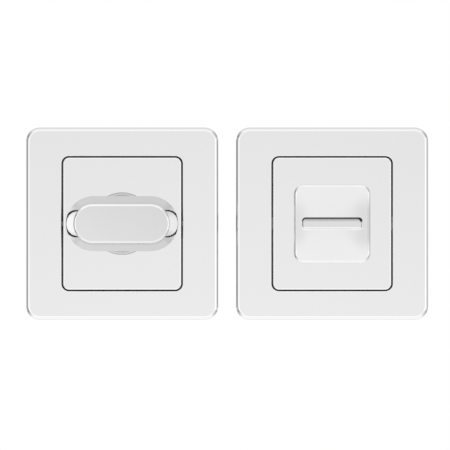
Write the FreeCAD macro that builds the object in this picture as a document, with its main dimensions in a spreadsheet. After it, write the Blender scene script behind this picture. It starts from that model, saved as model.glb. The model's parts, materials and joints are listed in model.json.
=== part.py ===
import FreeCAD, Part
import math
import os
import re
import Sketcher
from FreeCAD import Placement, Rotation, Vector

# Bathroom lock in two halves: a thumb turn for the inside of the door and a coin release for the outside.
# Lengths are in millimetres. The door face is the plane Y = 0, the roses face -Y and Z is up.
# A level is a height above the door face, towards the front.

sizes = {
    # square roses and the gap between the two
    "rose_side": 50.0,
    "rose_corner": 3.6,
    "rose_depth": 8.0,
    "half_gap": 4.6,
    # chromed cover with its window
    "cover_wall": 1.2,
    "cover_face": 1.2,
    "cover_edge": 0.9,
    "cover_play": 0.15,
    "border_side": 9.25,
    "border_top": 7.45,
    "window_corner": 1.95,
    "window_edge": 0.2,
    "notch_wide": 8.0,
    "notch_tall": 0.9,
    # chromed panel that fills the window
    "panel_gap": 0.3,
    "panel_thick": 1.6,
    "panel_edge": 0.4,
    "panel_play": 0.1,
    "peg_size": 2.4,
    "peg_length": 2.0,
    "peg_inset": 3.3,
    "peg_play": 0.05,
    # nylon base
    "base_flange": 3.0,
    "island_lip": 1.2,
    "recess_size": 18.0,
    "recess_depth": 3.8,
    "core_wall": 1.85,
    "core_side": 3.6,
    "core_foot": 10.9,
    "core_depth": 4.4,
    "core_corner": 1.0,
    "rib_length": 20.0,
    "rib_level": 1.6,
    "rib_half": 0.6,
    "rib_tip": 0.2,
    "rib_rise": 0.4,
    "rib_play": 0.1,
    # sleeves that the two hubs turn in
    "sleeve_size": 12.0,
    "sleeve_play": 0.03,
    "collar_size": 16.3,
    "collar_top": 13.6,
    "collar_thick": 1.7,
    "collar_edge": 0.3,
    "bush_rim": 15.0,
    "bush_rim_thick": 0.8,
    "bush_proud": 0.1,
    # hub of either half, with its clip groove and square socket
    "hub_size": 10.0,
    "hub_play": 0.05,
    "hub_tail": 3.0,
    "hub_chamfer": 0.4,
    "groove_size": 9.6,
    "socket_depth": 9.0,
    # thumb turn
    "turn_length": 29.3,
    "turn_width": 14.5,
    "turn_taper": 2.25,
    "turn_height": 9.2,
    "turn_stand": 2.0,
    "turn_rim": 0.6,
    "turn_foot": 0.3,
    # coin release
    "pad_wide": 20.1,
    "pad_tall": 20.7,
    "pad_corner": 2.8,
    "pad_thick": 2.4,
    "pad_taper": 0.15,
    "pad_stand": 0.3,
    "pad_edge": 0.7,
    "pad_dome": 180.0,
    "slot_length": 15.1,
    "slot_width": 2.6,
    "slot_depth": 1.6,
    "slot_corner": 0.6,
    "slot_edge": 0.3,
    # square spindle and its cross pin
    "spindle_side": 5.0,
    "spindle_play": 0.05,
    "spindle_reach": 50.0,
    "spindle_end_gap": 0.3,
    "spindle_chamfer": 0.6,
    "pin_size": 2.0,
    "pin_wall": 0.4,
    "pin_split": 0.4,
    "pin_level": 4.9,
    "pin_short": 0.2,
    "pin_play": 0.02,
    # washers and clip on each hub
    "flat_size": 16.0,
    "flat_thick": 0.5,
    "ring_play": 0.2,
    "spring_size": 15.0,
    "spring_thick": 0.3,
    "spring_rise": 0.8,
    "clip_thick": 1.0,
    "clip_play": 0.03,
    "clip_size": 13.0,
    "clip_shift": 0.3,
    "clip_gap": 2.4,
    "lug_size": 3.0,
    "lug_hole": 1.5,
    "lug_reach": 6.6,
    "lug_spread": 2.5,
    # bolts through the door and the posts that take them
    "bolt_inset": 3.25,
    "bolt_size": 4.0,
    "shank_size": 3.5,
    "bolt_play": 0.2,
    "bolt_reach": 46.0,
    "head_size": 7.0,
    "head_tall": 2.6,
    "head_edge": 0.5,
    "head_play": 0.3,
    "seat_level": 2.0,
    "drive_wide": 1.2,
    "drive_deep": 1.2,
    "post_size": 6.5,
    "post_play": 0.05,
    "post_collar": 7.6,
    "post_collar_thick": 1.4,
    "post_reach": 10.0,
    "post_bore": 3.3,
    "post_chamfer": 0.4,
}

doc = FreeCAD.newDocument("bathroom_thumb_turn_lock")
sheet = doc.addObject("Spreadsheet::Sheet", "Sizes")
for row, (alias, amount) in enumerate(sizes.items(), start=1):
    sheet.set(f"A{row}", alias)
    sheet.set(f"B{row}", str(amount))
    sheet.setAlias(f"B{row}", alias)
doc.recompute()


# Formulas made of size names, used in more than one piece.
full_turn = 360.0
window_wide = "(rose_side - 2 * border_side)"
window_tall = "(rose_side - 2 * border_top)"
panel_wide = "(rose_side - 2 * border_side - 2 * panel_gap)"
panel_tall = "(rose_side - 2 * border_top - 2 * panel_gap)"
panel_round = "(window_corner - panel_gap)"
panel_back = "(rose_depth - panel_thick)"
cover_ceiling = "(rose_depth - cover_face)"
base_side = "(rose_side - 2 * cover_wall - 2 * cover_play)"
turn_back = "(rose_depth + turn_stand)"
pad_back = "(rose_depth + pad_stand)"
pad_front = "(rose_depth + pad_stand + pad_thick)"
turn_clip_level = "(recess_depth - flat_thick - spring_rise - clip_thick)"
release_clip_level = "(recess_depth - bush_rim_thick - flat_thick - spring_rise - clip_thick)"
socket_side = "(spindle_side + 2 * spindle_play)"
half_spacing = "(rose_side / 2 - border_side + bolt_inset)"
peg_offset = f"({panel_tall} / 2 - peg_inset)"
core_wide = f"({window_wide} / 2 + island_lip - core_wall - core_side)"
core_tall = f"({window_tall} / 2 + island_lip - core_wall - core_foot)"
core_across = f"(core_side + {core_wide} / 2)"
core_up = f"(core_foot + {core_tall} / 2)"


def bound(formula):
    return re.sub(r"[a-z]\w*", lambda word: f"Sizes.{word[0]}" if word[0] in sizes else word[0], formula)


def amount_of(formula):
    return float(sheet.evalExpression(bound(formula)))


def bind(thing, path, formula):
    thing.setExpression(path, bound(formula))


def new_body(label):
    body = doc.addObject("PartDesign::Body", label)
    body.Label = label
    return body


def sketch_on(body, role, name, level="0"):
    sketch = body.newObject("Sketcher::SketchObject", f"{body.Name}_{name}")
    plane = next(item for item in body.Origin.OriginFeatures if item.Role == role)
    sketch.AttachmentSupport = [(plane, "")]
    sketch.MapMode = "FlatFace"
    bind(sketch, "AttachmentOffset.Base.z", level)
    return sketch


def front_sketch(body, name, level):
    return sketch_on(body, "XZ_Plane", name, level)


def dimension(sketch, kind, places, formula):
    index = sketch.addConstraint(Sketcher.Constraint(kind, *places, amount_of(formula)))
    name = f"size{index}"
    sketch.renameConstraint(index, name)
    bind(sketch, f"Constraints.{name}", formula)


def locate(sketch, item, end, across, up):
    dimension(sketch, "DistanceX", (-1, 1, item, end), across)
    dimension(sketch, "DistanceY", (-1, 1, item, end), up)


def point(across, up):
    return Vector(amount_of(across), amount_of(up), 0)


def add_polygon(sketch, corners):
    places = [point(*corner) for corner in corners]
    first = sketch.GeometryCount
    for start, end in zip(places, places[1:] + places[:1]):
        sketch.addGeometry(Part.LineSegment(start, end), False)
    last = first + len(corners) - 1
    for item in range(first, last + 1):
        following = first if item == last else item + 1
        sketch.addConstraint(Sketcher.Constraint("Coincident", item, 2, following, 1))
    for item, corner in enumerate(corners, start=first):
        locate(sketch, item, 1, *corner)


def add_square(sketch, half):
    add_polygon(sketch, [(f"-{half}", f"-{half}"), (half, f"-{half}"), (half, half), (f"-{half}", half)])


def add_circle(sketch, size, across="0", up="0"):
    radius = amount_of(size) / 2
    item = sketch.addGeometry(Part.Circle(point(across, up), Vector(0, 0, 1), radius), False)
    locate(sketch, item, 3, across, up)
    dimension(sketch, "Diameter", (item,), size)


def add_arc(sketch, centre, radius, start, end):
    # start and end count in quarter turns
    circle = Part.Circle(centre, Vector(0, 0, 1), radius)
    quarter = math.pi / 2
    return sketch.addGeometry(Part.ArcOfCircle(circle, start * quarter, end * quarter), False)


def add_rounded(sketch, wide, tall, corner, across="0", up="0"):
    right, left = f"{across} + {wide} / 2", f"{across} - {wide} / 2"
    top, bottom = f"{up} + {tall} / 2", f"{up} - {tall} / 2"
    x0, x1, y0, y1, r = (amount_of(side) for side in (left, right, bottom, top, corner))
    first = sketch.GeometryCount
    turns = [
        ((x0 + r, y0), (x1 - r, y0), (x1 - r, y0 + r), 3),
        ((x1, y0 + r), (x1, y1 - r), (x1 - r, y1 - r), 4),
        ((x1 - r, y1), (x0 + r, y1), (x0 + r, y1 - r), 5),
        ((x0, y1 - r), (x0, y0 + r), (x0 + r, y0 + r), 6),
    ]
    for start, end, centre, quarter in turns:
        sketch.addGeometry(Part.LineSegment(Vector(*start), Vector(*end)), False)
        add_arc(sketch, Vector(*centre), r, quarter, quarter + 1)
    count = 2 * len(turns)
    for step in range(count):
        following = first + (step + 1) % count
        sketch.addConstraint(Sketcher.Constraint("Tangent", first + step, 2, following, 1))
    for step, way in enumerate(("Horizontal", "Vertical", "Horizontal", "Vertical")):
        sketch.addConstraint(Sketcher.Constraint(way, first + 2 * step))
    for step in (3, 5, 7):
        sketch.addConstraint(Sketcher.Constraint("Equal", first + 1, first + step))
    dimension(sketch, "Radius", (first + 1,), corner)
    dimension(sketch, "DistanceY", (-1, 1, first, 1), bottom)
    dimension(sketch, "DistanceX", (-1, 1, first + 2, 1), right)
    dimension(sketch, "DistanceY", (-1, 1, first + 4, 1), top)
    dimension(sketch, "DistanceX", (-1, 1, first + 6, 1), left)


def add_stadium(sketch, length, wide):
    run = f"({length} - {wide}) / 2"
    c, r = amount_of(run), amount_of(wide) / 2
    right = add_arc(sketch, Vector(c, 0), r, 3, 5)
    top = sketch.addGeometry(Part.LineSegment(Vector(c, r), Vector(-c, r)), False)
    left = add_arc(sketch, Vector(-c, 0), r, 1, 3)
    bottom = sketch.addGeometry(Part.LineSegment(Vector(-c, -r), Vector(c, -r)), False)
    ring = [right, top, left, bottom]
    for item, following in zip(ring, ring[1:] + ring[:1]):
        sketch.addConstraint(Sketcher.Constraint("Tangent", item, 2, following, 1))
    sketch.addConstraint(Sketcher.Constraint("Equal", right, left))
    dimension(sketch, "Radius", (right,), f"{wide} / 2")
    locate(sketch, right, 3, run, "0")
    locate(sketch, left, 3, f"-{run}", "0")


def add_feature(body, kind, sketch, length=None, through=False, both_ways=False):
    feature = body.newObject(f"PartDesign::{kind}", f"{sketch.Name}_{kind}")
    feature.Profile = sketch
    if through:
        feature.Type = "ThroughAll"
    else:
        bind(feature, "Length", length)
    if both_ways:
        feature.SideType = "Symmetric"
    doc.recompute()
    return feature


def pad(body, sketch, length, **ways):
    return add_feature(body, "Pad", sketch, length, **ways)


def pocket(body, sketch, length=None, **ways):
    return add_feature(body, "Pocket", sketch, length, **ways)


def turned(body, name, corners, kind="Revolution"):
    sketch = sketch_on(body, "XY_Plane", name)
    add_polygon(sketch, corners)
    return spun(body, sketch, kind)


def spun(body, sketch, kind):
    feature = body.newObject(f"PartDesign::{kind}", f"{sketch.Name}_{kind}")
    feature.Profile = sketch
    feature.ReferenceAxis = (sketch, ["V_Axis"])
    feature.Angle = full_turn
    doc.recompute()
    return feature


def dress(body, kind, chosen, path, formula):
    tip = body.Tip
    feature = body.newObject(f"PartDesign::{kind}", f"{body.Name}_{kind}")
    names = [f"Edge{count}" for count, edge in enumerate(tip.Shape.Edges, start=1) if chosen(edge)]
    feature.Base = (tip, names)
    bind(feature, path, formula)
    body.Tip = feature
    doc.recompute()
    return feature


def round_edges(body, chosen, radius):
    return dress(body, "Fillet", chosen, "Radius", radius)


def bevel_edges(body, chosen, size):
    return dress(body, "Chamfer", chosen, "Size", size)


near = 1e-5


def at_level(level, reach=None):
    height = -amount_of(level)
    limit = amount_of(reach) + near if reach else None

    def chosen(edge):
        box = edge.BoundBox
        flat = abs(box.YMin - height) < near and abs(box.YMax - height) < near
        spread = max(abs(side) for side in (box.XMin, box.XMax, box.ZMin, box.ZMax))
        return flat and (limit is None or spread < limit)

    return chosen


def make_cover(label):
    body = new_body(label)
    outline = front_sketch(body, "outline", "0")
    add_rounded(outline, "rose_side", "rose_side", "rose_corner")
    pad(body, outline, "rose_depth")
    round_edges(body, at_level("rose_depth"), "cover_edge")
    cavity = front_sketch(body, "cavity", cover_ceiling)
    inner = "(rose_side - 2 * cover_wall)"
    add_rounded(cavity, inner, inner, "(rose_corner - cover_wall)")
    pocket(body, cavity, cover_ceiling)
    window = front_sketch(body, "window", "rose_depth")
    add_rounded(window, window_wide, window_tall, "window_corner")
    pocket(body, window, through=True)
    round_edges(body, at_level("rose_depth", f"{window_tall} / 2"), "window_edge")
    # grooves for the two snap ribs of the base, inside the skirt at the top and bottom
    groove = sketch_on(body, "YZ_Plane", "groove")
    rib_outlines(groove, "rib_play")
    pocket(body, groove, "rib_length + 2 * rib_play", both_ways=True)
    # slot at the lower edge where a screwdriver lifts the cover off
    notch = sketch_on(body, "XY_Plane", "notch", "cover_wall + cover_play - rose_side / 2")
    half = "notch_wide / 2"
    add_polygon(notch, [
        (f"-{half}", "-notch_tall"),
        (half, "-notch_tall"),
        (half, "cover_play"),
        (f"-{half}", "cover_play"),
    ])
    pocket(body, notch, through=True)
    return body


def rib_outlines(sketch, play):
    root = f"({base_side} / 2 - cover_play)"
    tip = f"({base_side} / 2 + rib_rise + {play})"
    for side in ("", "-"):
        add_polygon(sketch, [
            (f"-rib_level - rib_half - {play}", f"{side}{root}"),
            (f"-rib_level + rib_half + {play}", f"{side}{root}"),
            (f"-rib_level + rib_tip + {play}", f"{side}{tip}"),
            (f"-rib_level - rib_tip - {play}", f"{side}{tip}"),
        ])


def make_panel(label):
    body = new_body(label)
    outline = front_sketch(body, "outline", panel_back)
    add_rounded(outline, panel_wide, panel_tall, panel_round)
    pad(body, outline, "panel_thick")
    round_edges(body, at_level("rose_depth"), "panel_edge")
    hole = front_sketch(body, "hole", "rose_depth")
    add_circle(hole, "sleeve_size + 2 * sleeve_play")
    pocket(body, hole, through=True)
    pegs = front_sketch(body, "pegs", f"{panel_back} - peg_length")
    for side in ("", "-"):
        add_circle(pegs, "peg_size", up=f"{side}{peg_offset}")
    pad(body, pegs, "peg_length")
    return body


def make_base(label, hole_size, seat_size):
    body = new_body(label)
    outline = front_sketch(body, "outline", "0")
    add_rounded(outline, base_side, base_side, "(rose_corner - cover_wall - cover_play)")
    pad(body, outline, "base_flange")
    island = front_sketch(body, "island", "base_flange")
    lip = "2 * island_lip"
    island_wide, island_tall = f"({window_wide} + {lip})", f"({window_tall} + {lip})"
    add_rounded(island, island_wide, island_tall, "(window_corner + island_lip)")
    pad(body, island, f"{cover_ceiling} - base_flange")
    seat = front_sketch(body, "seat", cover_ceiling)
    play = "2 * panel_play"
    seat_wide, seat_tall = f"({panel_wide} + {play})", f"({panel_tall} + {play})"
    add_rounded(seat, seat_wide, seat_tall, f"({panel_round} + panel_play)")
    pocket(body, seat, f"{cover_ceiling} - {panel_back}")
    # hollows moulded into the back between the ribs
    cores = front_sketch(body, "cores", "core_depth")
    for across in (core_across, f"-{core_across}"):
        for up in (core_up, f"-{core_up}"):
            add_rounded(cores, core_wide, core_tall, "core_corner", across, up)
    pocket(body, cores, "core_depth")
    recess = front_sketch(body, "recess", "recess_depth")
    add_circle(recess, "recess_size")
    pocket(body, recess, "recess_depth")
    bore = front_sketch(body, "bore", "rose_depth")
    add_circle(bore, "sleeve_size + 2 * sleeve_play")
    pocket(body, bore, through=True)
    peg_holes = front_sketch(body, "peg_holes", panel_back)
    for side in ("", "-"):
        add_circle(peg_holes, "peg_size + 2 * peg_play", up=f"{side}{peg_offset}")
    pocket(body, peg_holes, "peg_length + peg_play")
    holes = front_sketch(body, "holes", "rose_depth")
    seats = front_sketch(body, "seats", "rose_depth")
    for side in ("", "-"):
        add_circle(holes, hole_size, across=f"{side}{half_spacing}")
        add_circle(seats, seat_size, across=f"{side}{half_spacing}")
    pocket(body, holes, through=True)
    pocket(body, seats, "rose_depth - seat_level")
    ribs = sketch_on(body, "YZ_Plane", "ribs")
    rib_outlines(ribs, "0")
    pad(body, ribs, "rib_length", both_ways=True)
    return body


def make_collar(label):
    body = new_body(label)
    bore = "(hub_size / 2 + hub_play)"
    turned(body, "section", [
        (bore, "-recess_depth"),
        ("sleeve_size / 2", "-recess_depth"),
        ("sleeve_size / 2", "-rose_depth"),
        ("collar_size / 2", "-rose_depth"),
        ("collar_top / 2", "-rose_depth - collar_thick"),
        (bore, "-rose_depth - collar_thick"),
    ])
    outer = amount_of("collar_top / 2")
    front = at_level("rose_depth + collar_thick")
    round_edges(body, lambda edge: front(edge) and edge.BoundBox.XMax > outer - near, "collar_edge")
    return body


def make_bush(label):
    body = new_body(label)
    bore = "(hub_size / 2 + hub_play)"
    turned(body, "section", [
        (bore, "bush_rim_thick - recess_depth"),
        ("bush_rim / 2", "bush_rim_thick - recess_depth"),
        ("bush_rim / 2", "-recess_depth"),
        ("sleeve_size / 2", "-recess_depth"),
        ("sleeve_size / 2", "-rose_depth - bush_proud"),
        (bore, "-rose_depth - bush_proud"),
    ])
    return body


def add_hub(body, back_level, clip_level):
    hub = front_sketch(body, "hub", "-hub_tail")
    add_circle(hub, "hub_size")
    pad(body, hub, f"hub_tail + {back_level}")
    bevel_edges(body, at_level("-hub_tail"), "hub_chamfer")
    groove = front_sketch(body, "clip_groove", f"{clip_level} + clip_thick + clip_play")
    add_circle(groove, "groove_size")
    add_circle(groove, "hub_size + 2 * hub_play")
    pocket(body, groove, "clip_thick + 2 * clip_play")
    socket = front_sketch(body, "socket", "socket_depth - hub_tail")
    half = f"{socket_side} / 2"
    add_square(socket, half)
    pocket(body, socket, "socket_depth")


def make_turn(label):
    body = new_body(label)
    foot = front_sketch(body, "foot", turn_back)
    add_stadium(foot, "turn_length", "turn_width")
    grip = pad(body, foot, "turn_height")
    bind(grip, "TaperAngle", "-atan(turn_taper / turn_height)")
    doc.recompute()
    round_edges(body, at_level(f"{turn_back} + turn_height"), "turn_rim")
    round_edges(body, at_level(turn_back), "turn_foot")
    add_hub(body, turn_back, turn_clip_level)
    cross = sketch_on(body, "YZ_Plane", "cross_hole")
    add_circle(cross, "pin_size + 2 * pin_play", across="-pin_level")
    pocket(body, cross, through=True, both_ways=True)
    return body


def make_release(label):
    body = new_body(label)
    outline = front_sketch(body, "outline", pad_back)
    add_rounded(outline, "pad_wide", "pad_tall", "pad_corner")
    block = pad(body, outline, "pad_thick")
    bind(block, "TaperAngle", "-atan(pad_taper / pad_thick)")
    doc.recompute()
    # shallow dome over the face, part of a ball whose poles lie far out to the left and right
    dome = sketch_on(body, "XY_Plane", "dome")
    reach, radius, front = (amount_of(size) for size in ("pad_tall", "pad_dome", pad_front))
    rim = radius - front - (radius ** 2 - reach ** 2) ** 0.5
    ahead = f"-{pad_front} - pad_thick"
    clear = amount_of(ahead)
    arc = dome.addGeometry(Part.Arc(Vector(-reach, rim), Vector(0, -front), Vector(reach, rim)), False)
    corners = [Vector(reach, rim), Vector(reach, clear), Vector(-reach, clear), Vector(-reach, rim)]
    for begin, finish in zip(corners, corners[1:]):
        dome.addGeometry(Part.LineSegment(begin, finish), False)
    middle = radius - front
    axis = dome.addGeometry(Part.LineSegment(Vector(-reach, middle), Vector(reach, middle)), True)
    for item in range(3):
        dome.addConstraint(Sketcher.Constraint("Coincident", arc + item, 2, arc + item + 1, 1))
    dome.addConstraint(Sketcher.Constraint("Coincident", arc + 3, 2, arc, 1))
    dimension(dome, "Radius", (arc,), "pad_dome")
    locate(dome, arc, 3, "0", f"pad_dome - {pad_front}")
    dimension(dome, "DistanceX", (-1, 1, arc, 1), "-pad_tall")
    dimension(dome, "DistanceX", (-1, 1, arc, 2), "pad_tall")
    locate(dome, arc + 1, 2, "pad_tall", ahead)
    locate(dome, arc + 2, 2, "-pad_tall", ahead)
    locate(dome, axis, 1, "-pad_tall", f"pad_dome - {pad_front}")
    locate(dome, axis, 2, "pad_tall", f"pad_dome - {pad_front}")
    crown = body.newObject("PartDesign::Groove", "coin_release_crown")
    crown.Profile = dome
    crown.ReferenceAxis = (dome, ["Axis0"])
    crown.Midplane = True
    bind(crown, "Angle", "2 * asin(pad_tall / pad_dome)")
    doc.recompute()
    low = amount_of(f"{pad_back} + pad_thick / 2")
    level_run = amount_of("pad_edge")
    round_edges(body, lambda edge: edge.BoundBox.YMax < -low and edge.Length > level_run, "pad_edge")
    # coin slot across the face
    slot = front_sketch(body, "slot", pad_front)
    add_rounded(slot, "slot_length", "slot_width", "slot_corner")
    pocket(body, slot, "slot_depth")
    mouth = amount_of(f"{pad_front} - slot_depth / 2")
    long, wide = amount_of("slot_length / 2"), amount_of("slot_width / 2")

    def around_slot(edge):
        box = edge.BoundBox
        inside = max(-box.XMin, box.XMax) < long + near and max(-box.ZMin, box.ZMax) < wide + near
        return inside and box.YMax < -mouth

    round_edges(body, around_slot, "slot_edge")
    add_hub(body, pad_back, release_clip_level)
    return body


def make_spindle(label):
    body = new_body(label)
    section = front_sketch(body, "section", "-spindle_reach")
    half = "spindle_side / 2"
    add_square(section, half)
    pad(body, section, "spindle_reach + socket_depth - hub_tail - spindle_end_gap")
    bevel_edges(body, at_level("-spindle_reach"), "spindle_chamfer")
    cross = sketch_on(body, "YZ_Plane", "cross_hole")
    add_circle(cross, "pin_size + 2 * pin_play", across="-pin_level")
    pocket(body, cross, through=True, both_ways=True)
    return body


def make_pin(label):
    body = new_body(label)
    section = sketch_on(body, "YZ_Plane", "section")
    add_circle(section, "pin_size", across="-pin_level")
    add_circle(section, "pin_size - 2 * pin_wall", across="-pin_level")
    pad(body, section, "hub_size - 2 * pin_short", both_ways=True)
    split = sketch_on(body, "YZ_Plane", "split")
    half = "pin_split / 2"
    add_polygon(split, [
        (f"{half} - pin_level", "0"),
        (f"{half} - pin_level", "pin_size"),
        (f"-{half} - pin_level", "pin_size"),
        (f"-{half} - pin_level", "0"),
    ])
    pocket(body, split, through=True, both_ways=True)
    return body


def make_flat_washer(label, top_level):
    body = new_body(label)
    ring = front_sketch(body, "ring", f"{top_level} - flat_thick")
    add_circle(ring, "flat_size")
    add_circle(ring, "hub_size + 2 * ring_play")
    pad(body, ring, "flat_thick")
    return body


def cylinder(name, radius, length):
    item = doc.addObject("Part::Cylinder", name)
    bind(item, "Radius", radius)
    bind(item, "Height", length)
    return item


def combined(kind, name, base, tool):
    item = doc.addObject(f"Part::{kind}", name)
    item.Base = base
    item.Tool = tool
    return item


def make_spring_washer(label, top_level):
    # a ring cut from sheet bowed about a line along X, so that it bears at its middle and at two ends
    sag = "(spring_rise - spring_thick)"
    bow = f"((spring_size ^ 2 / 4 + {sag} ^ 2) / (2 * {sag}))"
    along_x = Rotation(Vector(0, 1, 0), 90)
    along_y = Rotation(Vector(1, 0, 0), -90)
    outside = cylinder(f"{label}_outside", bow, "2 * spring_size")
    inside = cylinder(f"{label}_inside", f"{bow} - spring_thick", "2 * spring_size")
    for round_bar in (outside, inside):
        round_bar.Placement = Placement(Vector(), along_x)
        bind(round_bar, "Placement.Base.x", "-spring_size")
        bind(round_bar, "Placement.Base.y", f"{bow} - {top_level}")
    sheet_metal = combined("Cut", f"{label}_sheet", outside, inside)
    rim = cylinder(f"{label}_rim", "spring_size / 2", "3 * spring_rise")
    eye = cylinder(f"{label}_eye", "hub_size / 2 + ring_play", "3 * spring_rise")
    for round_bar in (rim, eye):
        round_bar.Placement = Placement(Vector(), along_y)
        bind(round_bar, "Placement.Base.y", f"-{top_level} - spring_rise")
    ring = combined("Cut", f"{label}_ring", rim, eye)
    washer = combined("Common", label, sheet_metal, ring)
    washer.Label = label
    doc.recompute()
    return washer


def make_clip(label, level):
    body = new_body(label)
    ring = front_sketch(body, "ring", level)
    add_circle(ring, "clip_size", up="-clip_shift")
    add_circle(ring, "groove_size + 2 * clip_play")
    pad(body, ring, "clip_thick")
    lugs = front_sketch(body, "lugs", level)
    holes = front_sketch(body, "lug_holes", f"{level} + clip_thick")
    gap = front_sketch(body, "gap", f"{level} + clip_thick")
    for side in ("", "-"):
        add_circle(lugs, "lug_size", across=f"{side}lug_spread", up="lug_reach")
        add_circle(holes, "lug_hole", across=f"{side}lug_spread", up="lug_reach")
    pad(body, lugs, "clip_thick")
    pocket(body, holes, through=True)
    half = "clip_gap / 2"
    add_polygon(gap, [(f"-{half}", "0"), (half, "0"), (half, "clip_size"), (f"-{half}", "clip_size")])
    pocket(body, gap, through=True)
    return body


def make_pair(label, single):
    other = doc.addObject("Part::Mirroring", f"{label}_other")
    other.Source = single
    other.Normal = Vector(1, 0, 0)
    pair = doc.addObject("Part::Compound", label)
    pair.Links = [single, other]
    pair.Label = label
    doc.recompute()
    return pair


def make_bolts(label):
    # the rolled thread stands proud of the plain shank, which lies in the base
    body = new_body(f"{label}_one")
    thread, shank, head = "(bolt_size / 2)", "(shank_size / 2)", "(head_size / 2)"
    top = "(-seat_level - head_tall)"
    turned(body, "section", [
        ("0", "bolt_reach"),
        (f"{thread} - head_edge", "bolt_reach"),
        (thread, "bolt_reach - head_edge"),
        (thread, "0"),
        (shank, "0"),
        (shank, "-seat_level"),
        (head, "-seat_level"),
        (head, f"{top} + head_edge"),
        (f"{head} - head_edge", top),
        ("0", top),
    ])
    drive = front_sketch(body, "drive", "seat_level + head_tall")
    half = "drive_wide / 2"
    add_polygon(drive, [
        ("-head_size", f"-{half}"),
        ("head_size", f"-{half}"),
        ("head_size", half),
        ("-head_size", half),
    ])
    pocket(body, drive, "drive_deep")
    bind(body, "Placement.Base.x", half_spacing)
    return make_pair(label, body)


def make_posts(label):
    body = new_body(f"{label}_one")
    bore, barrel, collar = "(post_bore / 2)", "(post_size / 2)", "(post_collar / 2)"
    top = "(-seat_level - post_collar_thick)"
    turned(body, "section", [
        (bore, "post_reach"),
        (f"{barrel} - post_chamfer", "post_reach"),
        (barrel, "post_reach - post_chamfer"),
        (barrel, "-seat_level"),
        (collar, "-seat_level"),
        (collar, top),
        (bore, top),
    ])
    bind(body, "Placement.Base.x", half_spacing)
    return make_pair(label, body)


turn_pieces = [
    make_cover("turn_cover"),
    make_panel("turn_panel"),
    make_base("turn_base", "bolt_size + 2 * bolt_play", "head_size + 2 * head_play"),
    make_collar("turn_collar"),
    make_turn("thumb_turn"),
    make_spindle("spindle"),
    make_pin("spindle_pin"),
    make_flat_washer("turn_flat_washer", "recess_depth"),
    make_spring_washer("turn_spring_washer", "(recess_depth - flat_thick)"),
    make_clip("turn_circlip", turn_clip_level),
    make_bolts("fixing_bolts"),
]
release_pieces = [
    make_cover("release_cover"),
    make_panel("release_panel"),
    make_base("release_base", "post_size + 2 * post_play", "post_collar + 2 * post_play"),
    make_bush("release_bush"),
    make_release("coin_release"),
    make_flat_washer("release_flat_washer", "(recess_depth - bush_rim_thick)"),
    make_spring_washer("release_spring_washer", "(recess_depth - bush_rim_thick - flat_thick)"),
    make_clip("release_circlip", release_clip_level),
    make_posts("threaded_posts"),
]
for piece in release_pieces:
    bind(piece, "Placement.Base.x", "rose_side + half_gap")
doc.recompute()

for item in doc.Objects:
    if "Invalid" in item.State or "Error" in item.State:
        raise RuntimeError(f"{item.Label} did not build: {item.State}")
for piece in turn_pieces + release_pieces:
    if piece.Shape.isNull() or not piece.Shape.isValid() or not piece.Shape.Solids:
        raise RuntimeError(f"{piece.Label} has no sound solid")

os.makedirs("parts", exist_ok=True)
for piece in turn_pieces + release_pieces:
    piece.Shape.exportStep(f"parts/{piece.Label}.step")
    print(piece.Label, round(piece.Shape.Volume, 2), len(piece.Shape.Solids))
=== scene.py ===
import json
import math
import bmesh
import bpy
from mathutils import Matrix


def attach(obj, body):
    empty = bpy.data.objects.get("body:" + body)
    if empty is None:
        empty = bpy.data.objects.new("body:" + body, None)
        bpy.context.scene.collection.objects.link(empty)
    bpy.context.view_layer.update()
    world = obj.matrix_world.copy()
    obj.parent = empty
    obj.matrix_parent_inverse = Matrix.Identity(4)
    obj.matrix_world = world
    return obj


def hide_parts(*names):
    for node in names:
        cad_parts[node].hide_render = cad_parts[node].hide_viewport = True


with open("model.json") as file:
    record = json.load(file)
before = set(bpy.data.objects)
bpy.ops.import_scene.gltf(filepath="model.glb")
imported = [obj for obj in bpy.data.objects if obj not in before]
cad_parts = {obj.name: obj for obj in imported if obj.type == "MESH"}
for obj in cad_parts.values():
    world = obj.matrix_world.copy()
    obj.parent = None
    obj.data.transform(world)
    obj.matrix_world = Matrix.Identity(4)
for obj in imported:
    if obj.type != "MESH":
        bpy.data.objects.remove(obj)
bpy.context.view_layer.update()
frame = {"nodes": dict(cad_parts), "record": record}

nodes = frame["nodes"]
mm = 0.001
turnAcross = 0.0                # where the axis of the thumb turn is, along X
releaseAcross = 54.6 * mm       # and that of the coin release


# shader maths

class Wire:
    # a socket; sums of sockets and numbers become Math nodes
    def __init__(self, tree, socket=None):
        self.tree = tree
        self.socket = socket

    def node(self, kind, settings=None, links=None, out=0):
        made = self.tree.nodes.new("ShaderNode" + kind)
        for name, value in (settings or {}).items():
            if name == "stops":
                setStops(made.color_ramp, value)
            else:
                setattr(made, name, value)
        for place, value in (links or {}).items():
            socket = made.inputs[place]
            if isinstance(value, Wire):
                self.tree.links.new(value.socket, socket)
            else:
                socket.default_value = value
        return Wire(self.tree, made.outputs[out]) if len(made.outputs) else made

    def sum(self, operation, first, second):
        return self.node("Math", {"operation": operation}, {0: first, 1: second})

    def __add__(self, other):
        return self.sum("ADD", self, other)

    def __radd__(self, other):
        return self.sum("ADD", other, self)

    def __sub__(self, other):
        return self.sum("SUBTRACT", self, other)

    def __rsub__(self, other):
        return self.sum("SUBTRACT", other, self)

    def __mul__(self, other):
        return self.sum("MULTIPLY", self, other)

    def __rmul__(self, other):
        return self.sum("MULTIPLY", other, self)

    def __truediv__(self, other):
        return self.sum("DIVIDE", self, other)


def setStops(ramp, stops):
    ramp.interpolation = "EASE"
    while len(ramp.elements) > 1:
        ramp.elements.remove(ramp.elements[-1])
    for count, (place, level) in enumerate(stops):
        stop = ramp.elements[0] if count == 0 else ramp.elements.new(place)
        stop.position = place
        stop.color = (level, level, level, 1)


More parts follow.
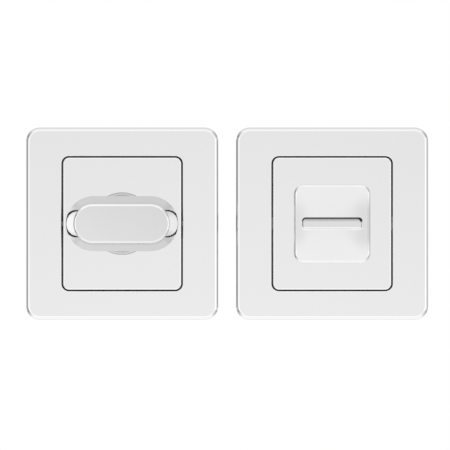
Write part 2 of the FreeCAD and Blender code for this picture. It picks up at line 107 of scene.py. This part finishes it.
def newMaterial(name):
    material = bpy.data.materials.new(name)
    material.use_nodes = True
    material.node_tree.nodes.clear()
    return material, Wire(material.node_tree)


def finishMaterial(wire, links):
    surface = wire.node("BsdfPrincipled", None, links)
    wire.node("OutputMaterial", None, {"Surface": surface})


def objectPlace(wire):
    return wire.node("TexCoord", out="Object")


def stretched(wire, place, scale):
    return wire.node("Mapping", None, {"Vector": place, "Scale": scale})


def noise(wire, place, scale, detail=2.0, rough=0.5):
    links = {"Vector": place, "Scale": scale, "Detail": detail, "Roughness": rough}
    return wire.node("TexNoise", None, links)


def bump(wire, height, strength, depth):
    return wire.node("Bump", None, {"Height": height, "Strength": strength, "Distance": depth})


def tint(wire, share, low, high):
    # 6, 7 and 2 are the colour sockets of a Mix node
    ends = [side if isinstance(side, Wire) else (*side, 1) for side in (low, high)]
    return wire.node("Mix", {"data_type": "RGBA"}, {0: share, 6: ends[0], 7: ends[1]}, out=2)


def shaded(wire, colour, tone):
    settings = {"data_type": "RGBA", "blend_type": "MULTIPLY"}
    return wire.node("Mix", settings, {0: 1.0, 6: colour, 7: tone}, out=2)


def grey(level):
    return (level, level, level)


def spread(wire, place):
    return [wire.node("SeparateXYZ", None, {0: place}, out) for out in range(3)]


def absolute(wire, value):
    return wire.node("Math", {"operation": "ABSOLUTE"}, {0: value})


def above(wire, value, least):
    return wire.sum("MAXIMUM", value, least)


def distance(wire, across, up):
    return wire.node("Math", {"operation": "SQRT"}, {0: across * across + up * up})


def rise(wire, value, start, end):
    # 0 before start, 1 after end, smooth between
    links = {"Value": value, "From Min": start, "From Max": end}
    return wire.node("MapRange", {"interpolation_type": "SMOOTHSTEP"}, links)


def between(share, low, high):
    return share * high + (1 - share) * low


toneTop = 1.5       # a ramp holds tones up to 1, so they are kept as shares of this


def ramp(wire, value, span, stops):
    # stops are (place within span, tone)
    shares = [(at / span, tone / toneTop) for at, tone in stops]
    return wire.node("ValToRGB", {"stops": shares}, {0: value / span}) * toneTop


# chrome: tone from low to high by a slow drift and a lean (across, up) that paints a reflection
# gradient into the tone, lighter towards one side; polishing haze, faint waves
# the cover is painted lighter towards the bottom, as the room's reflection falls
coverChrome = {
    "low": 0.8, "high": 0.845, "start": 0.5,
    "paintedLean": (0, -20), "across": turnAcross, "rough": 0.03,
}
# the turn is the cover's chrome set darker as painted shade, leaning darker to the right and
# towards the top
turnChrome = {
    "low": 0.7, "high": 0.79, "start": 0.35,
    "paintedLean": (-20, -40), "across": turnAcross, "rough": 0.04,
}
# the pad is the cover's chrome set paler as painted light, leaning darker to the right as painted
# shade
padChrome = {
    "low": 0.825, "high": 0.86, "start": 0.5,
    "paintedLean": (-20, 0), "across": releaseAcross, "rough": 0.04,
}
# the collar is the cover's chrome set much darker as painted shade, where the turn shades it
collarChrome = {
    "low": 0.5, "high": 0.58, "start": 0.5,
    "paintedLean": (0, 0), "across": turnAcross, "rough": 0.06,
}
plating = {
    "drift": 0.25, "driftScale": 70,
    "haze": 0.03, "hazeScale": 900,
    "wave": 0.04, "waveScale": 220, "waveDepth": 0.02 * mm,
}


def chromeParts(wire, look):
    place = objectPlace(wire)
    x, y, z = spread(wire, place)
    drift = noise(wire, place, plating["driftScale"], detail=3)
    haze = noise(wire, place, plating["hazeScale"], detail=2)
    wave = noise(wire, place, plating["waveScale"], detail=1)
    share = look["start"] + plating["drift"] * (drift - 0.5)
    # painted reflection gradient: the lean shifts the tone across and up
    share = share + look["paintedLean"][0] * (x - look["across"]) + look["paintedLean"][1] * z
    return {
        "Base Color": tint(wire, share, grey(look["low"]), grey(look["high"])),
        "Roughness": look["rough"] + plating["haze"] * haze,
        "Metallic": 1.0,
        "Normal": bump(wire, wave, plating["wave"], plating["waveDepth"]),
    }


def makeChrome(name, look):
    material, wire = newMaterial(name)
    finishMaterial(wire, chromeParts(wire, look))
    return material


# thumb turn: tone by height above its foot, painted shade down the flanks, deeper on the lower
# flank, and a painted highlight along the rim
thumbTurn = {
    "foot": -10.0 * mm,
    "height": 9.2 * mm,
    "upper": [
        (0, 0.96), (6.6 * mm, 0.96), (7.8 * mm, 0.88), (8.68 * mm, 0.84),
        (8.78 * mm, 1.25), (9.185 * mm, 1.25), (9.198 * mm, 1.0),
    ],
    "lower": [
        (0, 0.96), (6.2 * mm, 0.96), (7.4 * mm, 0.84), (8.86 * mm, 0.74),
        (9.0 * mm, 1.03), (9.185 * mm, 1.03), (9.198 * mm, 1.0),
    ],
    "ends": [
        (0, 0.96), (8.7 * mm, 0.98), (8.8 * mm, 1.25), (9.185 * mm, 1.25), (9.198 * mm, 1.0),
    ],
    "change": (-4.4 * mm, -2.6 * mm),       # from the lower row of tones to the upper one
    "endChange": (10.4 * mm, 11.6 * mm),    # and to those of the ends
}


def makeTurnChrome():
    material, wire = newMaterial("turnChrome")
    parts = chromeParts(wire, turnChrome)
    x, y, z = spread(wire, objectPlace(wire))
    level = thumbTurn["foot"] - y
    upper, lower, ends = (
        ramp(wire, level, thumbTurn["height"], thumbTurn[row]) for row in ("upper", "lower", "ends")
    )
    # painted shade on the flanks, lower darker than upper; painted highlight on the rim
    flanks = between(rise(wire, z, *thumbTurn["change"]), lower, upper)
    atEnd = rise(wire, absolute(wire, x - turnAcross), *thumbTurn["endChange"])
    parts["Base Color"] = shaded(wire, parts["Base Color"], between(atEnd, flanks, ends))
    finishMaterial(wire, parts)
    return material


# collar: tone by distance from the axis, a painted highlight band between edges darkened as painted
# shade
turnCollar = {
    "rim": 8.4 * mm,
    "paintedBands": [
        (0, 0.9), (7.42 * mm, 0.9), (7.6 * mm, 1.2),
        (7.82 * mm, 1.2), (7.95 * mm, 0.92), (8.4 * mm, 0.88),
    ],
}


def makeCollarChrome():
    material, wire = newMaterial("collarChrome")
    parts = chromeParts(wire, collarChrome)
    x, y, z = spread(wire, objectPlace(wire))
    radius = distance(wire, x - turnAcross, z)
    # painted highlight band with painted shade at its edges
    paintedBands = ramp(wire, radius, turnCollar["rim"], turnCollar["paintedBands"])
    parts["Base Color"] = shaded(wire, parts["Base Color"], paintedBands)
    finishMaterial(wire, parts)
    return material


# coin release: painted shade and highlight along the sides, darker on the right, and painted shade
# in the slot with a painted highlight on its lower lip
coinRelease = {
    "half": 10.05 * mm,
    "left": [
        (0, 1.0), (6.0 * mm, 1.0), (8.6 * mm, 0.95), (9.1 * mm, 0.94), (9.35 * mm, 0.75),
        (9.6 * mm, 0.95), (9.75 * mm, 1.16), (10.05 * mm, 1.16),
    ],
    "right": [
        (0, 1.0), (5.0 * mm, 1.0), (8.2 * mm, 0.93), (9.1 * mm, 0.92), (9.35 * mm, 0.62),
        (9.6 * mm, 0.7), (9.75 * mm, 0.85), (10.05 * mm, 0.95),
    ],
    "sideFade": (3.0 * mm, 8.8 * mm),       # the painted sides end before the corners
}
coinSlot = {
    "halfLong": 7.85 * mm,
    "halfTall": 1.62 * mm,
    "corner": 0.9 * mm,
    "floorLevel": -8.6 * mm,
    "edge": 0.05 * mm,
    "line": 0.36 * mm,                      # painted shade line round the upper lip
    "lineFade": (0.2 * mm, 0.8 * mm),
    "blot": 0.3 * mm,                       # it thickens at the right end
    "rightEnd": (6.5 * mm, 7.3 * mm),
    "leftEnd": (-7.2 * mm, -6.9 * mm),      # and goes on down the left end, paler
    "leftFade": (-0.9 * mm, -0.6 * mm),
    "leftShare": 0.6,
    "shadeFade": (0.3 * mm, 1.5 * mm),
    "highlightFade": (-1.02 * mm, -0.9 * mm),  # painted highlight on the lower lip
    "lowerEnd": (-1.56 * mm, -1.46 * mm),
    # the slot's floor is darker as painted shade in the recess, and darker still towards the upper
    # lip
    "floorShadeTone": 0.74,
    "shadeTone": 0.3,
    "lineTone": 0.02,
    "highlightTone": 1.0,
}


def slotMask(wire, fromRim, y, z):
    edge, floorLevel = coinSlot["edge"], coinSlot["floorLevel"]
    inside = rise(wire, fromRim, -edge, edge) * rise(wire, z, *coinSlot["lowerEnd"])
    return inside * (1 - rise(wire, y, floorLevel - edge, floorLevel))


# painted shade in the slot and under its upper lip, and a painted highlight on the lower lip
def slotColour(wire, fromRim, across, z):
    slot, edge = coinSlot, coinSlot["edge"]
    width = slot["line"] + slot["blot"] * rise(wire, across, *slot["rightEnd"])
    line = 1 - rise(wire, fromRim, width - edge, width + edge)
    leftEnd = (1 - rise(wire, across, *slot["leftEnd"])) * rise(wire, z, *slot["leftFade"])
    dark = line * above(wire, rise(wire, z, *slot["lineFade"]), slot["leftShare"] * leftEnd)
    shade = rise(wire, z, *slot["shadeFade"])
    highlight = 1 - rise(wire, z, *slot["highlightFade"])
    colour = tint(wire, shade, grey(slot["floorShadeTone"]), grey(slot["shadeTone"]))
    colour = tint(wire, dark, colour, grey(slot["lineTone"]))
    return tint(wire, highlight, colour, grey(slot["highlightTone"]))


def makePadChrome():
    material, wire = newMaterial("padChrome")
    parts = chromeParts(wire, padChrome)
    x, y, z = spread(wire, objectPlace(wire))
    across = x - releaseAcross
    sideways, height = absolute(wire, across), absolute(wire, z)
    corner, edge = coinSlot["corner"], coinSlot["edge"]
    out = above(wire, sideways - (coinSlot["halfLong"] - corner), 0)
    up = above(wire, height - (coinSlot["halfTall"] - corner), 0)
    fromRim = corner - distance(wire, out, up)
    left, right = (
        ramp(wire, sideways, coinRelease["half"], coinRelease[side]) for side in ("left", "right")
    )
    # painted shade and highlight along the pad's left and right edges
    sides = between(rise(wire, across, -edge, edge), left, right)
    sides = between(rise(wire, height, *coinRelease["sideFade"]), sides, 1)
    face = shaded(wire, parts["Base Color"], sides)
    inside = slotMask(wire, fromRim, y, z)
    parts["Base Color"] = tint(wire, inside, face, slotColour(wire, fromRim, across, z))
    finishMaterial(wire, parts)
    return material


# moulded nylon: spark-eroded grain, slow flow marks
blackNylon = {
    "low": 0.008,
    "high": 0.04,
    "rough": 0.34,
    "gloss": 0.25,
    "grain": 1.0,
    "grainScale": 1500,
    "grainDepth": 0.1 * mm,
    "grainRough": 0.1,
    "flowScale": 90,
    "flowStretch": (1, 1, 0.3),
    "flowEdges": (0.3, 0.7),
    "flowRough": 0.24,
}


def makeNylon():
    look = blackNylon
    material, wire = newMaterial("blackNylon")
    place = objectPlace(wire)
    grain = noise(wire, place, look["grainScale"], detail=3, rough=0.6)
    flow = stretched(wire, place, look["flowStretch"])
    flow = noise(wire, flow, look["flowScale"], detail=4)
    flow = rise(wire, flow, *look["flowEdges"])
    finishMaterial(wire, {
        "Base Color": tint(wire, 0.5 * flow + 0.5 * grain, grey(look["low"]), grey(look["high"])),
        "Roughness": look["rough"] + look["flowRough"] * flow + look["grainRough"] * grain,
        "Specular IOR Level": look["gloss"],
        "Normal": bump(wire, grain, look["grain"], look["grainDepth"]),
    })
    return material


# steels: mottled plating over fine grain; the bar's is drawn out along it
zincPlate = {
    "low": (0.47, 0.48, 0.5), "high": (0.68, 0.685, 0.69),
    "rough": 0.22, "along": (1, 1, 1),
}
drawnBar = {
    "low": (0.45, 0.46, 0.48), "high": (0.66, 0.665, 0.67),
    "rough": 0.2, "along": (1, 0.06, 1),
}
springSteel = {
    "low": (0.09, 0.09, 0.095), "high": (0.23, 0.225, 0.22),
    "rough": 0.28, "along": (1, 1, 1),
}
steelSkin = {
    "mottleScale": 420, "mottleRough": 0.16,
    "fine": 0.12, "fineScale": 2800, "fineDepth": 0.02 * mm,
}


def steelParts(wire, look):
    place = stretched(wire, objectPlace(wire), look["along"])
    mottle = noise(wire, place, steelSkin["mottleScale"], detail=4, rough=0.62)
    fine = noise(wire, place, steelSkin["fineScale"], detail=2)
    return {
        "Base Color": tint(wire, mottle, look["low"], look["high"]),
        "Roughness": look["rough"] + steelSkin["mottleRough"] * mottle,
        "Metallic": 1.0,
        "Normal": bump(wire, fine, steelSkin["fine"], steelSkin["fineDepth"]),
    }


def makeSteel(name, look):
    material, wire = newMaterial(name)
    finishMaterial(wire, steelParts(wire, look))
    return material


# brass bush: lathe rings about the axis of the release
turnedBrass = {
    "low": (0.62, 0.43, 0.17),
    "high": (0.8, 0.61, 0.3),
    "rough": 0.18,
    "mottleScale": 300,
    "mottleRough": 0.15,
    "ring": 0.2,
    "ringScale": 5200,
    "ringDepth": 0.02 * mm,
}


def makeBrass():
    look = turnedBrass
    material, wire = newMaterial("turnedBrass")
    place = objectPlace(wire)
    x, y, z = spread(wire, place)
    radius = distance(wire, x - releaseAcross, z)
    lathe = wire.node("CombineXYZ", None, {0: radius, 1: y})
    rings = noise(wire, lathe, look["ringScale"], detail=1)
    mottle = noise(wire, place, look["mottleScale"], detail=3)
    finishMaterial(wire, {
        "Base Color": tint(wire, mottle, look["low"], look["high"]),
        "Roughness": look["rough"] + look["mottleRough"] * mottle,
        "Metallic": 1.0,
        "Normal": bump(wire, rings, look["ring"], look["ringDepth"]),
    })
    return material


finishes = {
    "chrome": makeChrome("coverChrome", coverChrome),
    "black_nylon": makeNylon(),
    "zinc_steel": makeSteel("zincPlate", zincPlate),
    "spring_steel": makeSteel("springSteel", springSteel),
    "brass": makeBrass(),
}
ownFinish = {
    "thumb_turn": makeTurnChrome(),
    "turn_collar": makeCollarChrome(),
    "coin_release": makePadChrome(),
    "spindle": makeSteel("drawnBar", drawnBar),
}
for part in frame["record"]["subparts"]:
    mesh = nodes[part["node"]].data
    mesh.materials.clear()
    mesh.materials.append(ownFinish.get(part["node"]) or finishes[part["material_slot"]])
print("materials on", len(nodes), "nodes")


# bolts and posts with their threads, each made on the Y axis and then set in pairs

roundSteps = 48
joined = 0.001 * mm             # points nearer than this are one
threadJoined = 0.002 * mm
near = 0.01 * mm                # points within this are at the same height
sharpFrom = math.radians(32)
thread = {
    "pitch": 0.7 * mm,
    "steps": 24,
    "root": 0.09,               # half widths, as shares of the pitch
    "crest": 0.06,
    "lead": 1.37,               # turns before the start, cut off again
    "spare": 3,
}


def addChain(bm, points):
    # points are (distance from the axis, place along it)
    verts = [bm.verts.new((across, along, 0)) for across, along in points]
    edges = [bm.edges.new(pair) for pair in zip(verts, verts[1:])]
    return verts + edges


def addTurned(bm, points):
    bmesh.ops.spin(bm, geom=addChain(bm, points), cent=(0, 0, 0), axis=(0, 1, 0),
                   angle=math.tau, steps=roundSteps, use_merge=True)
    bmesh.ops.remove_doubles(bm, verts=bm.verts, dist=joined)


def addThread(bm, low, high, start, end):
    # one ridge swept along the helix, with turns to spare at both ends, then cut square
    pitch, steps = thread["pitch"], thread["steps"]
    begin = start - thread["lead"] * pitch
    ridge = [
        (low, 0), (low, thread["root"]), (high, 0.5 - thread["crest"]),
        (high, 0.5 + thread["crest"]), (low, 1 - thread["root"]), (low, 1),
    ]
    chain = addChain(bm, [(across, begin + share * pitch) for across, share in ridge])
    turns = math.ceil((end - start) / pitch) + thread["spare"]
    bmesh.ops.spin(bm, geom=chain, cent=(0, 0, 0), axis=(0, 1, 0), dvec=(0, pitch / steps, 0),
                   angle=turns * math.tau, steps=turns * steps)
    bmesh.ops.remove_doubles(bm, verts=bm.verts, dist=threadJoined)
    for height, way in ((start, -1), (end, 1)):
        bmesh.ops.bisect_plane(bm, geom=bm.verts[:] + bm.edges[:] + bm.faces[:],
                               plane_co=(0, height, 0), plane_no=(0, way, 0), clear_outer=True)


def isAt(item, height):
    return all(abs(vert.co.y - height) < near for vert in item.verts)


def openEdges(bm):
    return [edge for edge in bm.edges if edge.is_boundary]


def openEdgesAt(bm, height):
    return [edge for edge in openEdges(bm) if isAt(edge, height)]


def vertsOf(items):
    return [item for item in items if isinstance(item, bmesh.types.BMVert)]


def addInto(bm, other):
    mesh = bpy.data.meshes.new("piece")
    other.to_mesh(mesh)
    other.free()
    bm.from_mesh(mesh)
    bpy.data.meshes.remove(mesh)


def pairOf(bm, middle, across):
    copy = bmesh.ops.duplicate(bm, geom=bm.verts[:] + bm.edges[:] + bm.faces[:])["geom"]
    second = vertsOf(copy)
    first = list(set(bm.verts) - set(second))
    bmesh.ops.translate(bm, verts=first, vec=(middle - across, 0, 0))
    bmesh.ops.translate(bm, verts=second, vec=(middle + across, 0, 0))
    return bm


def makePiece(name, bm, finish):
    bmesh.ops.recalc_face_normals(bm, faces=bm.faces)
    mesh = bpy.data.meshes.new(name)
    bm.to_mesh(mesh)
    bm.free()
    mesh.shade_smooth()
    mesh.set_sharp_from_angle(angle=sharpFrom)
    mesh.materials.append(finish)
    piece = bpy.data.objects.new(name, mesh)
    bpy.context.scene.collection.objects.link(piece)
    return piece


bolt = {
    "across": 19.0 * mm,        # from the axis of the turn
    "thread": 2.0 * mm,         # radii
    "core": 1.62 * mm,
    "shank": 1.75 * mm,
    "head": 3.5 * mm,
    "top": -4.6 * mm,           # heights, from the head to the point
    "slotFloor": -3.4 * mm,
    "seat": -2.0 * mm,
    "start": 0.0,
    "end": 46.0 * mm,
    "runOut": 0.2 * mm,
    "point": 0.5 * mm,
    "slotHalf": 0.6 * mm,
    "edge": 0.5 * mm,
}
boltPlate = {                   # roots of the thread darkened as painted shade, crests left bright
    "root": 1.64 * mm,
    "crest": 1.95 * mm,
    "rootShadeTone": 0.45,
    "startFade": 0.1 * mm,
}


def makeBoltPlate():
    material, wire = newMaterial("boltPlate")
    parts = steelParts(wire, zincPlate)
    x, y, z = spread(wire, objectPlace(wire))
    radius = distance(wire, absolute(wire, x - turnAcross) - bolt["across"], z)
    crest = rise(wire, radius, boltPlate["root"], boltPlate["crest"])
    threaded = rise(wire, y, bolt["start"], bolt["start"] + boltPlate["startFade"])
    # painted shade in the roots of the thread
    tone = 1 - threaded * (1 - crest) * (1 - boltPlate["rootShadeTone"])
    parts["Base Color"] = shaded(wire, parts["Base Color"], tone)
    finishMaterial(wire, parts)
    return material


def headFaces(bm):
    return [face for face in bm.faces if isAt(face, bolt["slotFloor"])]


def raiseHead(bm):
    # the head stands up on both sides of the driver slot
    half = bolt["slotHalf"]
    for way in (-1, 1):
        flat = headFaces(bm)
        around = {item for face in flat for item in (*face.verts, *face.edges)}
        bmesh.ops.bisect_plane(bm, geom=flat + list(around),
                               plane_co=(0, 0, way * half), plane_no=(0, 0, 1))
    beside = [face for face in headFaces(bm) if abs(face.calc_center_median().z) > half]
    beside = bmesh.ops.dissolve_faces(bm, faces=beside)["region"]
    lifted = vertsOf(bmesh.ops.extrude_face_region(bm, geom=beside)["geom"])
    bmesh.ops.delete(bm, geom=beside, context="FACES_ONLY")
    bmesh.ops.translate(bm, verts=lifted, vec=(0, bolt["top"] - bolt["slotFloor"], 0))
    rim = [edge for edge in bm.edges
           if all(vert in lifted for vert in edge.verts)
           and max(abs(vert.co.z) for vert in edge.verts) > half + near]
    bmesh.ops.bevel(bm, geom=rim, offset=bolt["edge"], offset_type="OFFSET", affect="EDGES",
                    segments=3, profile=0.5, material=-1)


def makeBolts():
    bm = bmesh.new()
    addThread(bm, bolt["core"], bolt["thread"], bolt["start"], bolt["end"])
    bmesh.ops.holes_fill(bm, edges=openEdgesAt(bm, bolt["end"]), sides=0)
    for vert in bm.verts:       # the end is turned to a blunt point
        over = vert.co.y - (bolt["end"] - bolt["point"])
        across = math.hypot(vert.co.x, vert.co.z)
        if over > 0 and across > bolt["thread"] - over:
            shrink = (bolt["thread"] - over) / across
            vert.co.x *= shrink
            vert.co.z *= shrink
    body = bmesh.new()
    addTurned(body, [
        (0, bolt["slotFloor"]), (bolt["head"], bolt["slotFloor"]), (bolt["head"], bolt["seat"]),
        (bolt["shank"], bolt["seat"]), (bolt["shank"], bolt["start"] - bolt["runOut"]),
    ])
    raiseHead(body)
    addInto(bm, body)
    bmesh.ops.bridge_loops(bm, edges=openEdges(bm))
    return pairOf(bm, turnAcross, bolt["across"])


post = {
    "across": 19.0 * mm,        # from the axis of the release
    "bore": 1.65 * mm,          # radii
    "root": 2.03 * mm,
    "barrel": 3.25 * mm,
    "collar": 3.8 * mm,
    "top": -3.4 * mm,           # heights
    "seat": -2.0 * mm,
    "end": 10.0 * mm,
    "chamfer": 0.4 * mm,
}


def makePosts():
    bm = bmesh.new()
    addThread(bm, post["root"], post["bore"], post["top"], post["end"])
    shell = bmesh.new()
    addTurned(shell, [
        (post["barrel"] - post["chamfer"], post["end"]),
        (post["barrel"], post["end"] - post["chamfer"]),
        (post["barrel"], post["seat"]),
        (post["collar"], post["seat"]),
        (post["collar"], post["top"]),
    ])
    addInto(bm, shell)
    for height in (post["top"], post["end"]):
        bmesh.ops.bridge_loops(bm, edges=openEdgesAt(bm, height))
    return pairOf(bm, releaseAcross, post["across"])


for name, node, bm, finish in (
    ("threadedBolts", "fixing_bolts", makeBolts(), makeBoltPlate()),
    ("tappedPosts", "threaded_posts", makePosts(), finishes["zinc_steel"]),
):
    piece = makePiece(name, bm, finish)
    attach(piece, "roses")
    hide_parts(node)
    print(name, len(piece.data.polygons), "faces")


# studio

studio = {
    "lens": 600,
    "sensor": 36,
    "camera": (26.75 * mm, -1958 * mm, -0.35 * mm),
    "reach": 20,
}


def makeCamera():
    data = bpy.data.cameras.new("camera")
    data.lens = studio["lens"]
    data.sensor_width = studio["sensor"]
    data.clip_end = studio["reach"]
    camera = bpy.data.objects.new("camera", data)
    camera.location = studio["camera"]
    camera.rotation_euler = (math.radians(90), 0, 0)
    bpy.context.scene.collection.objects.link(camera)
    bpy.context.scene.camera = camera


# brightness of the room on four sides, by the angle from straight ahead of the roses in degrees;
# corners are tones between the sides, and the widths are shares of sideways in a direction
room = {
    "span": 180,
    "left": [
        (0, 0.985), (3, 0.97), (6, 0.92), (8, 1.0), (12, 1.3), (24, 1.42), (29, 1.4), (37, 0.7),
        (60, 0.48), (80, 0.4), (105, 0.5), (140, 0.88), (180, 1.0),
    ],
    "right": [
        (0, 0.985), (3, 0.96), (6, 0.905), (8, 0.98), (12, 1.2), (24, 1.35), (32, 1.3), (42, 1.05),
        (71, 0.85), (95, 0.62), (121, 0.5), (150, 0.8), (180, 1.0),
    ],
    "above": [
        (0, 0.985), (8, 1.0), (11, 1.33), (18, 1.3), (25, 1.0), (30, 1.0), (42, 1.1), (75, 1.04),
        (100, 0.88), (140, 0.72), (180, 0.9),
    ],
    "below": [
        (0, 0.985), (8, 1.02), (11, 1.3), (18, 1.25), (25, 1.0), (31, 1.0), (42, 1.12), (90, 1.14),
        (110, 1.05), (145, 0.85), (180, 0.95),
    ],
    "corners": [
        (0, 1.0), (22, 1.0), (34, 0.7), (60, 0.72), (95, 0.78), (125, 0.58), (160, 0.58),
        (180, 1.0),
    ],
    "cornerIn": (0.3, 0.55),
    "cornerOut": (0.8, 0.95),
    "sideways": (0.52, 0.86),
    "seam": (-0.01, 0.01),
    "tiny": 0.00001,            # keeps straight ahead from dividing by nothing
}


def makeWorld():
    world = bpy.data.worlds.new("studio")
    bpy.context.scene.world = world
    world.use_nodes = True
    world.node_tree.nodes.clear()
    wire = Wire(world.node_tree)
    x, y, z = spread(wire, wire.node("TexCoord", out="Generated"))
    polar = wire.node("Math", {"operation": "ARCCOSINE"}, {0: -1 * y}) * math.degrees(1)
    left, right, upper, lower, corners = (
        ramp(wire, polar, room["span"], room[side])
        for side in ("left", "right", "above", "below", "corners")
    )
    across = x * x / (x * x + z * z + room["tiny"])
    sides = between(rise(wire, x, *room["seam"]), left, right)
    heights = between(rise(wire, z, *room["seam"]), lower, upper)
    walls = between(rise(wire, across, *room["sideways"]), heights, sides)
    inCorner = rise(wire, across, *room["cornerIn"]) * (1 - rise(wire, across, *room["cornerOut"]))
    walls = walls * between(inCorner, 1, corners)
    # white where the camera looks past the part
    seen = wire.node("LightPath", out="Is Camera Ray")
    back = wire.node("Background", None, {
        "Color": (1, 1, 1, 1),
        "Strength": between(seen, walls, 1),
    })
    wire.node("OutputWorld", None, {"Surface": back})


paleFloor = {
    "level": -78 * mm,
    "half": 420 * mm,
    "low": 0.92,
    "high": 0.95,
    "rough": 0.7,
    "driftScale": 9,
}


def makeFloor():
    bm = bmesh.new()
    bmesh.ops.create_grid(bm, x_segments=8, y_segments=8, size=paleFloor["half"])
    bmesh.ops.translate(bm, verts=bm.verts, vec=(studio["camera"][0], 0, paleFloor["level"]))
    mesh = bpy.data.meshes.new("floor")
    bm.to_mesh(mesh)
    bm.free()
    floor = bpy.data.objects.new("floor", mesh)
    bpy.context.scene.collection.objects.link(floor)
    material, wire = newMaterial("paleFloor")
    drift = noise(wire, objectPlace(wire), paleFloor["driftScale"], detail=2)
    paint = wire.node("BsdfPrincipled", None, {
        "Base Color": tint(wire, drift, grey(paleFloor["low"]), grey(paleFloor["high"])),
        "Roughness": paleFloor["rough"],
    })
    # the chrome sees the room, not the floor
    glossy = wire.node("LightPath", out="Is Glossy Ray")
    clear = wire.node("BsdfTransparent")
    surface = wire.node("MixShader", None, {0: glossy, 1: paint, 2: clear})
    wire.node("OutputMaterial", None, {"Surface": surface})
    mesh.materials.append(material)


makeCamera()
makeWorld()
makeFloor()
bpy.context.scene.view_settings.view_transform = "Standard"
print("studio set")
